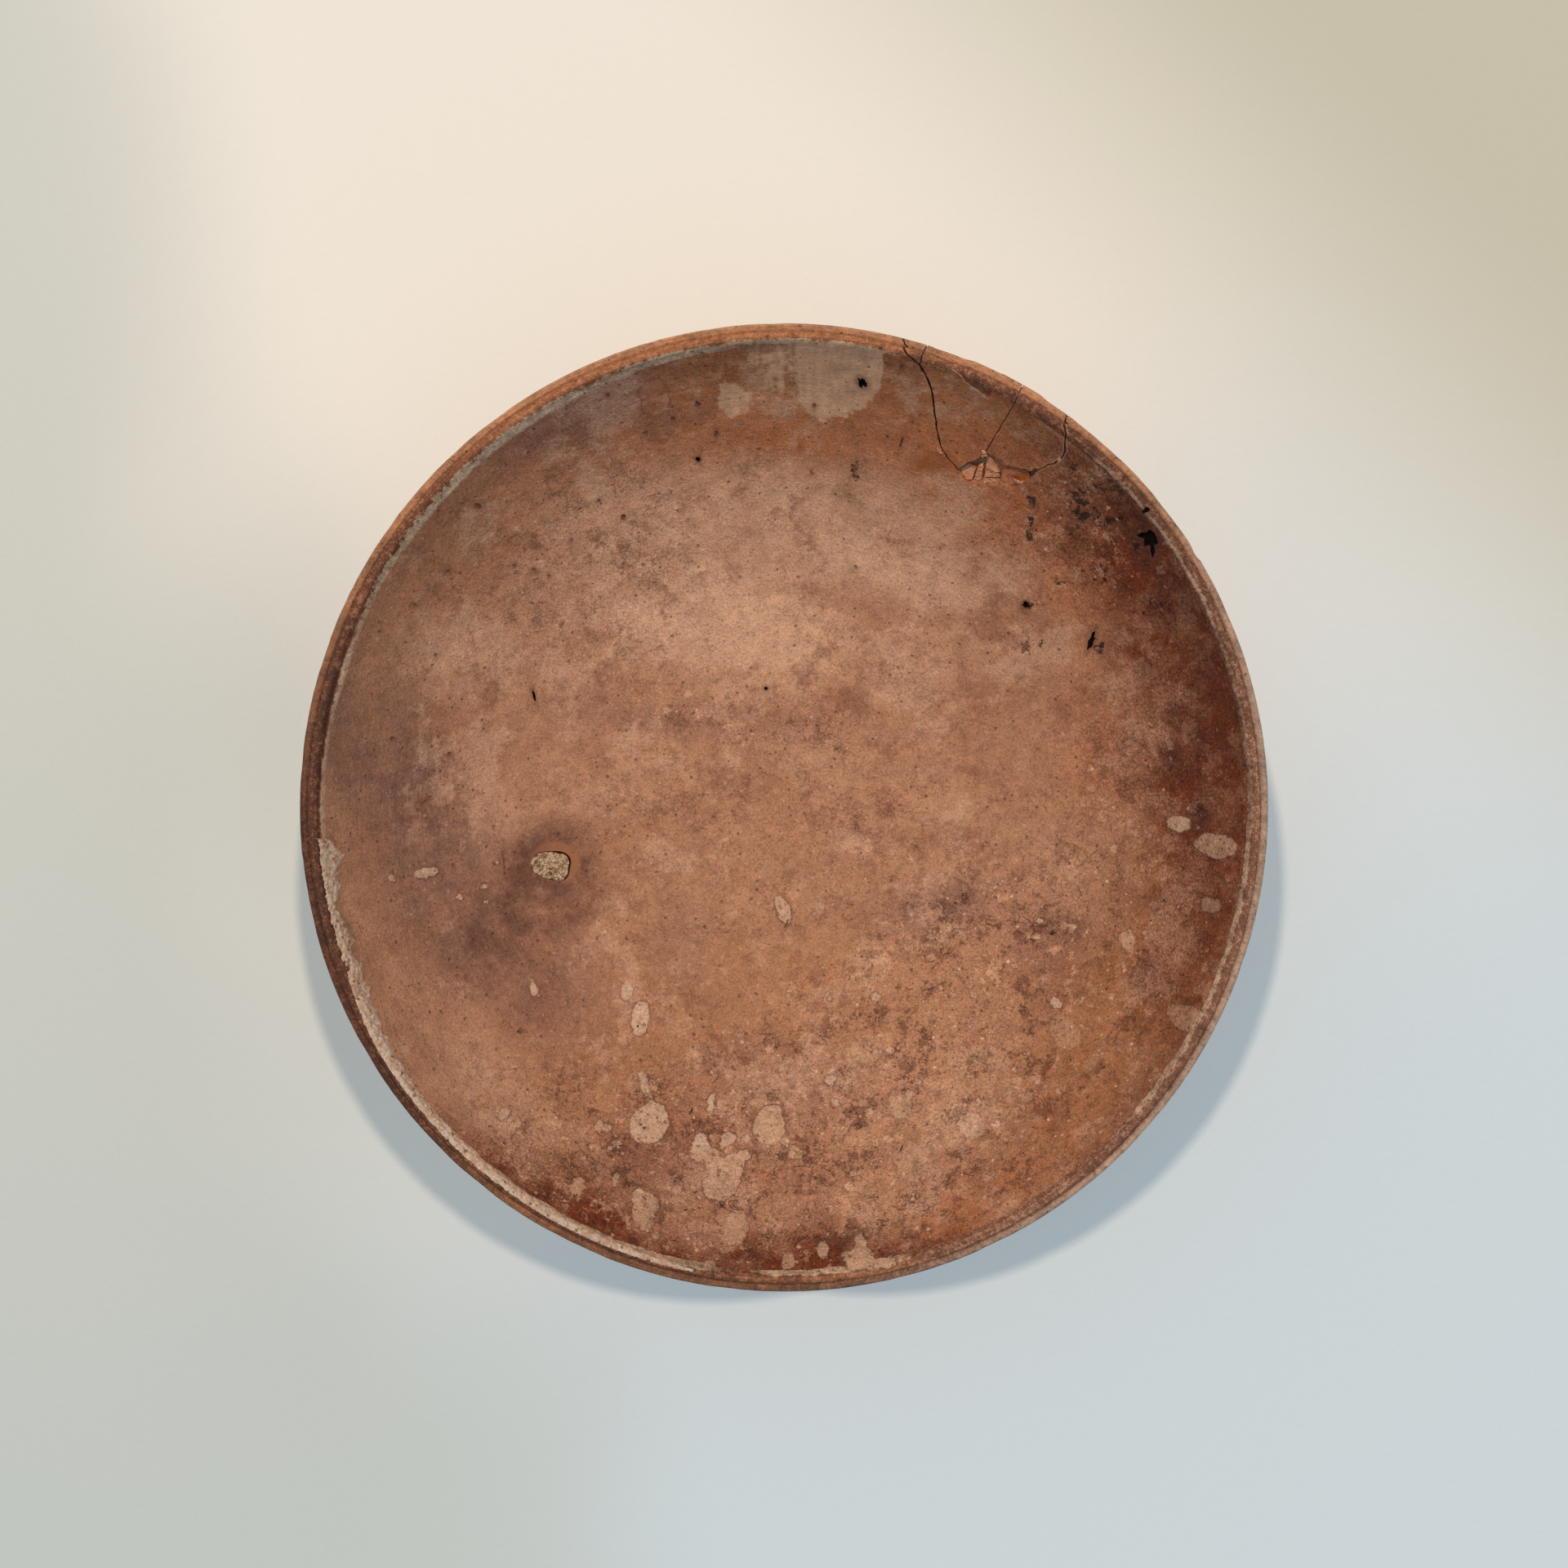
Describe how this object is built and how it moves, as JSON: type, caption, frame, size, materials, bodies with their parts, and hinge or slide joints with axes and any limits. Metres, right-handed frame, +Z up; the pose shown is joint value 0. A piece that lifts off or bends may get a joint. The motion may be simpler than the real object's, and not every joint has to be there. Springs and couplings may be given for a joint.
{
  "type": "earthenware bowl",
  "caption": "Wide shallow wheel-thrown earthenware bowl with a grooved lip and a ring foot, its rim mended with glued sherds over a small loss.",
  "frame": {"origin": "centre of the ring foot's resting face", "axes": "+Z up through the mouth of the bowl, +X to the right and +Y to the top of the picture"},
  "size_m": [0.2, 0.2, 0.0553],
  "materials": {
    "fired_clay": "unglazed red-brown clay, wiped smooth, mottled and worn",
    "fresh_clay": "freshly broken orange clay, rough",
    "amber_resin": "cured amber adhesive, smooth",
    "clear_glue": "cured clear adhesive, glossy",
    "lime": "grey-cream lime, chalky",
    "lime_crust": "grey-beige granular lime crust"
  },
  "bodies": {
    "root": {"dish_body": "fired_clay", "rim_sherd_left": "fired_clay", "rim_sherd_right": "fired_clay", "rim_sliver": "fired_clay", "chip_flake_left": "fresh_clay", "chip_flake_middle": "fresh_clay", "chip_flake_upper": "fresh_clay", "chip_flake_lower": "fresh_clay", "chip_flake_bottom": "fresh_clay", "resin_fill": "amber_resin", "glue_bead_left_crack": "clear_glue", "glue_bead_middle_crack": "clear_glue", "glue_bead_right_crack": "clear_glue", "glue_bead_chip_edge": "clear_glue", "lime_nodule": "lime", "rim_lime_crust": "lime_crust"}
  },
  "joints": []
}
